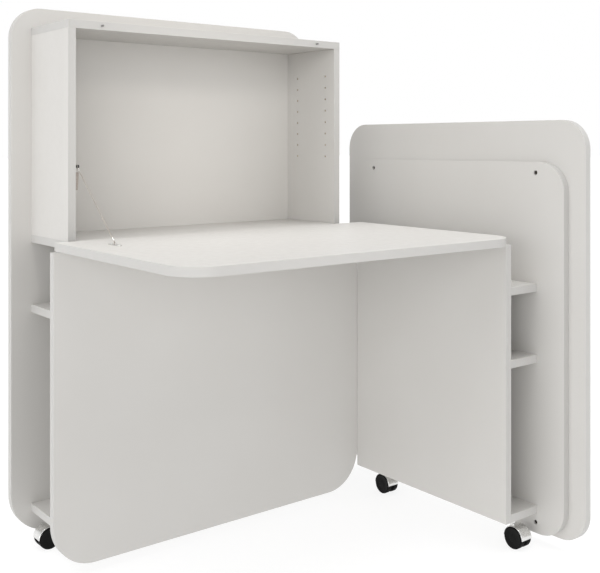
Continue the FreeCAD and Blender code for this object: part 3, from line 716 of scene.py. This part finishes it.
rope = Mesh()
side_axis = Vector((1, 0, 0))
rope.add(tube(loop(stud_at, 3.9 * MM, top, side_axis), LOOP_WIRE))
rope.add(tube(loop(lug_at, 2.6 * MM, bottom, run.cross(side_axis).normalized()), LOOP_WIRE))
sleeve = turned(mm([
    (0, 0), (1.2, 0), (1.55, 0.3), (1.6, 1.0), (1.35, 2.2), (1.3, 3.2), (1.6, 4.3), (1.6, 4.8),
    (1.3, 5.8), (1.35, 6.8), (1.6, 8.0), (1.55, 8.7), (1.2, 9.0), (0, 9.0),
]), 28)
for end in (top, bottom - run * SLEEVE):
    rope.add(sleeve, Matrix.Translation(end) @ aim, slot=1)
start, finish = top + run * (SLEEVE - 1 * MM), bottom - run * (SLEEVE - 1 * MM)
length = (finish - start).length
across = aim.to_3x3() @ Vector((1, 0, 0))
upward = aim.to_3x3() @ Vector((0, 1, 0))
count = int(length / RING_STEP)
for strand in range(OUTER_STRANDS + 1):
    # the last strand is the core
    offset = 0 if strand == OUTER_STRANDS else 2 * STRAND
    points = []
    for k in range(count + 1):
        along = length * k / count
        angle = math.tau * (along / LAY + strand / OUTER_STRANDS)
        points.append(start + run * along + (across * math.cos(angle) + upward * math.sin(angle)) * offset)
    rope.add(tube(points, STRAND, 8))
wire = rope.build("stay_wire_rope", None, [WIRE, NICKEL], "stay_wire_steel", ["stay_wire"])
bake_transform(wire)

# ------------------------------------------------------------ floor and light
FLOOR_HALF = 60
floor_look = Nodes("studio_floor", roughness=0.9, Specular_IOR_Level=0.1, Emission_Strength=0.85)
floor_look.shader.inputs["Emission Color"].default_value = (1, 1, 1, 1)
floor_look.colour(floor_look.mix(floor_look.noise(0.8, detail=2), (0.19, 0.19, 0.19), (0.18, 0.18, 0.18)))
floor_data = bpy.data.meshes.new("studio_floor")
floor_corners = [(x * FLOOR_HALF, y * FLOOR_HALF, 0) for x, y in ((-1, -1), (1, -1), (1, 1), (-1, 1))]
floor_data.from_pydata(floor_corners, [], [[0, 1, 2, 3]])
floor_data.materials.append(floor_look.material)
floor = bpy.data.objects.new("studio_floor", floor_data)
bpy.context.scene.collection.objects.link(floor)

# the world is white round the horizon and darker overhead, where the suns take over
HORIZON = 1.0
OVERHEAD = 0.30
FADE_START, FADE_END = 0.22, 0.45  # Z of the view's direction
world = bpy.data.worlds.new("studio")
world.use_nodes = True
sky = world.node_tree
background = sky.nodes["Background"]
background.inputs["Color"].default_value = (1.0, 1.0, 1.0, 1)
direction = sky.nodes.new("ShaderNodeTexCoord")
height = sky.nodes.new("ShaderNodeSeparateXYZ")
fade = sky.nodes.new("ShaderNodeMapRange")
for socket, number in zip(list(fade.inputs)[1:5], (FADE_START, FADE_END, HORIZON, OVERHEAD)):
    socket.default_value = number
sky.links.new(direction.outputs["Generated"], height.inputs[0])
sky.links.new(height.outputs["Z"], fade.inputs[0])
sky.links.new(fade.outputs[0], background.inputs["Strength"])
bpy.context.scene.world = world


def lamp(name, kind, aim, **settings):
    """A light. aim points from the lit object back to the light."""
    data = bpy.data.lights.new(name, kind)
    for key, value in settings.items():
        setattr(data, key, value)
    made = bpy.data.objects.new(name, data)
    made.rotation_euler = Vector(aim).to_track_quat("Z", "Y").to_euler()
    bpy.context.scene.collection.objects.link(made)
    return made


def sun(name, bearing, rise, strength):
    """A wide soft light from far off. bearing turns from the front (-Y) towards the left (-X), in degrees."""
    bearing, rise = math.radians(bearing), math.radians(rise)
    level = math.cos(rise)
    aim = (-math.sin(bearing) * level, -math.cos(bearing) * level, math.sin(rise))
    lamp(name, "SUN", aim, angle=math.radians(50), energy=strength)


def spot(name, at, target, spread, watts):
    """A soft warm light into the box."""
    made = lamp(
        name, "SPOT", Vector(at) - Vector(target), energy=watts, spot_size=math.radians(spread),
        spot_blend=0.7, shadow_soft_size=0.35, color=(1.0, 0.955, 0.90),
    )
    made.location = at


sun("overhead", 0, 90, 1.95)
sun("left_high", 90, 55, 0.75)
sun("right_high", -45, 55, 0.72)
sun("front_low", 45, 2, 1.20)
sun("left_low", 90, 2, 0.45)
spot("box_fill_low", (-0.9, -2.0, 0.95), (0.0, 0.40, 1.05), 22, 34)
spot("box_fill_high", (-0.5, -1.6, 2.1), (-0.07, 0.30, 0.95), 22, 62)

bpy.context.scene.view_settings.view_transform = "Standard"
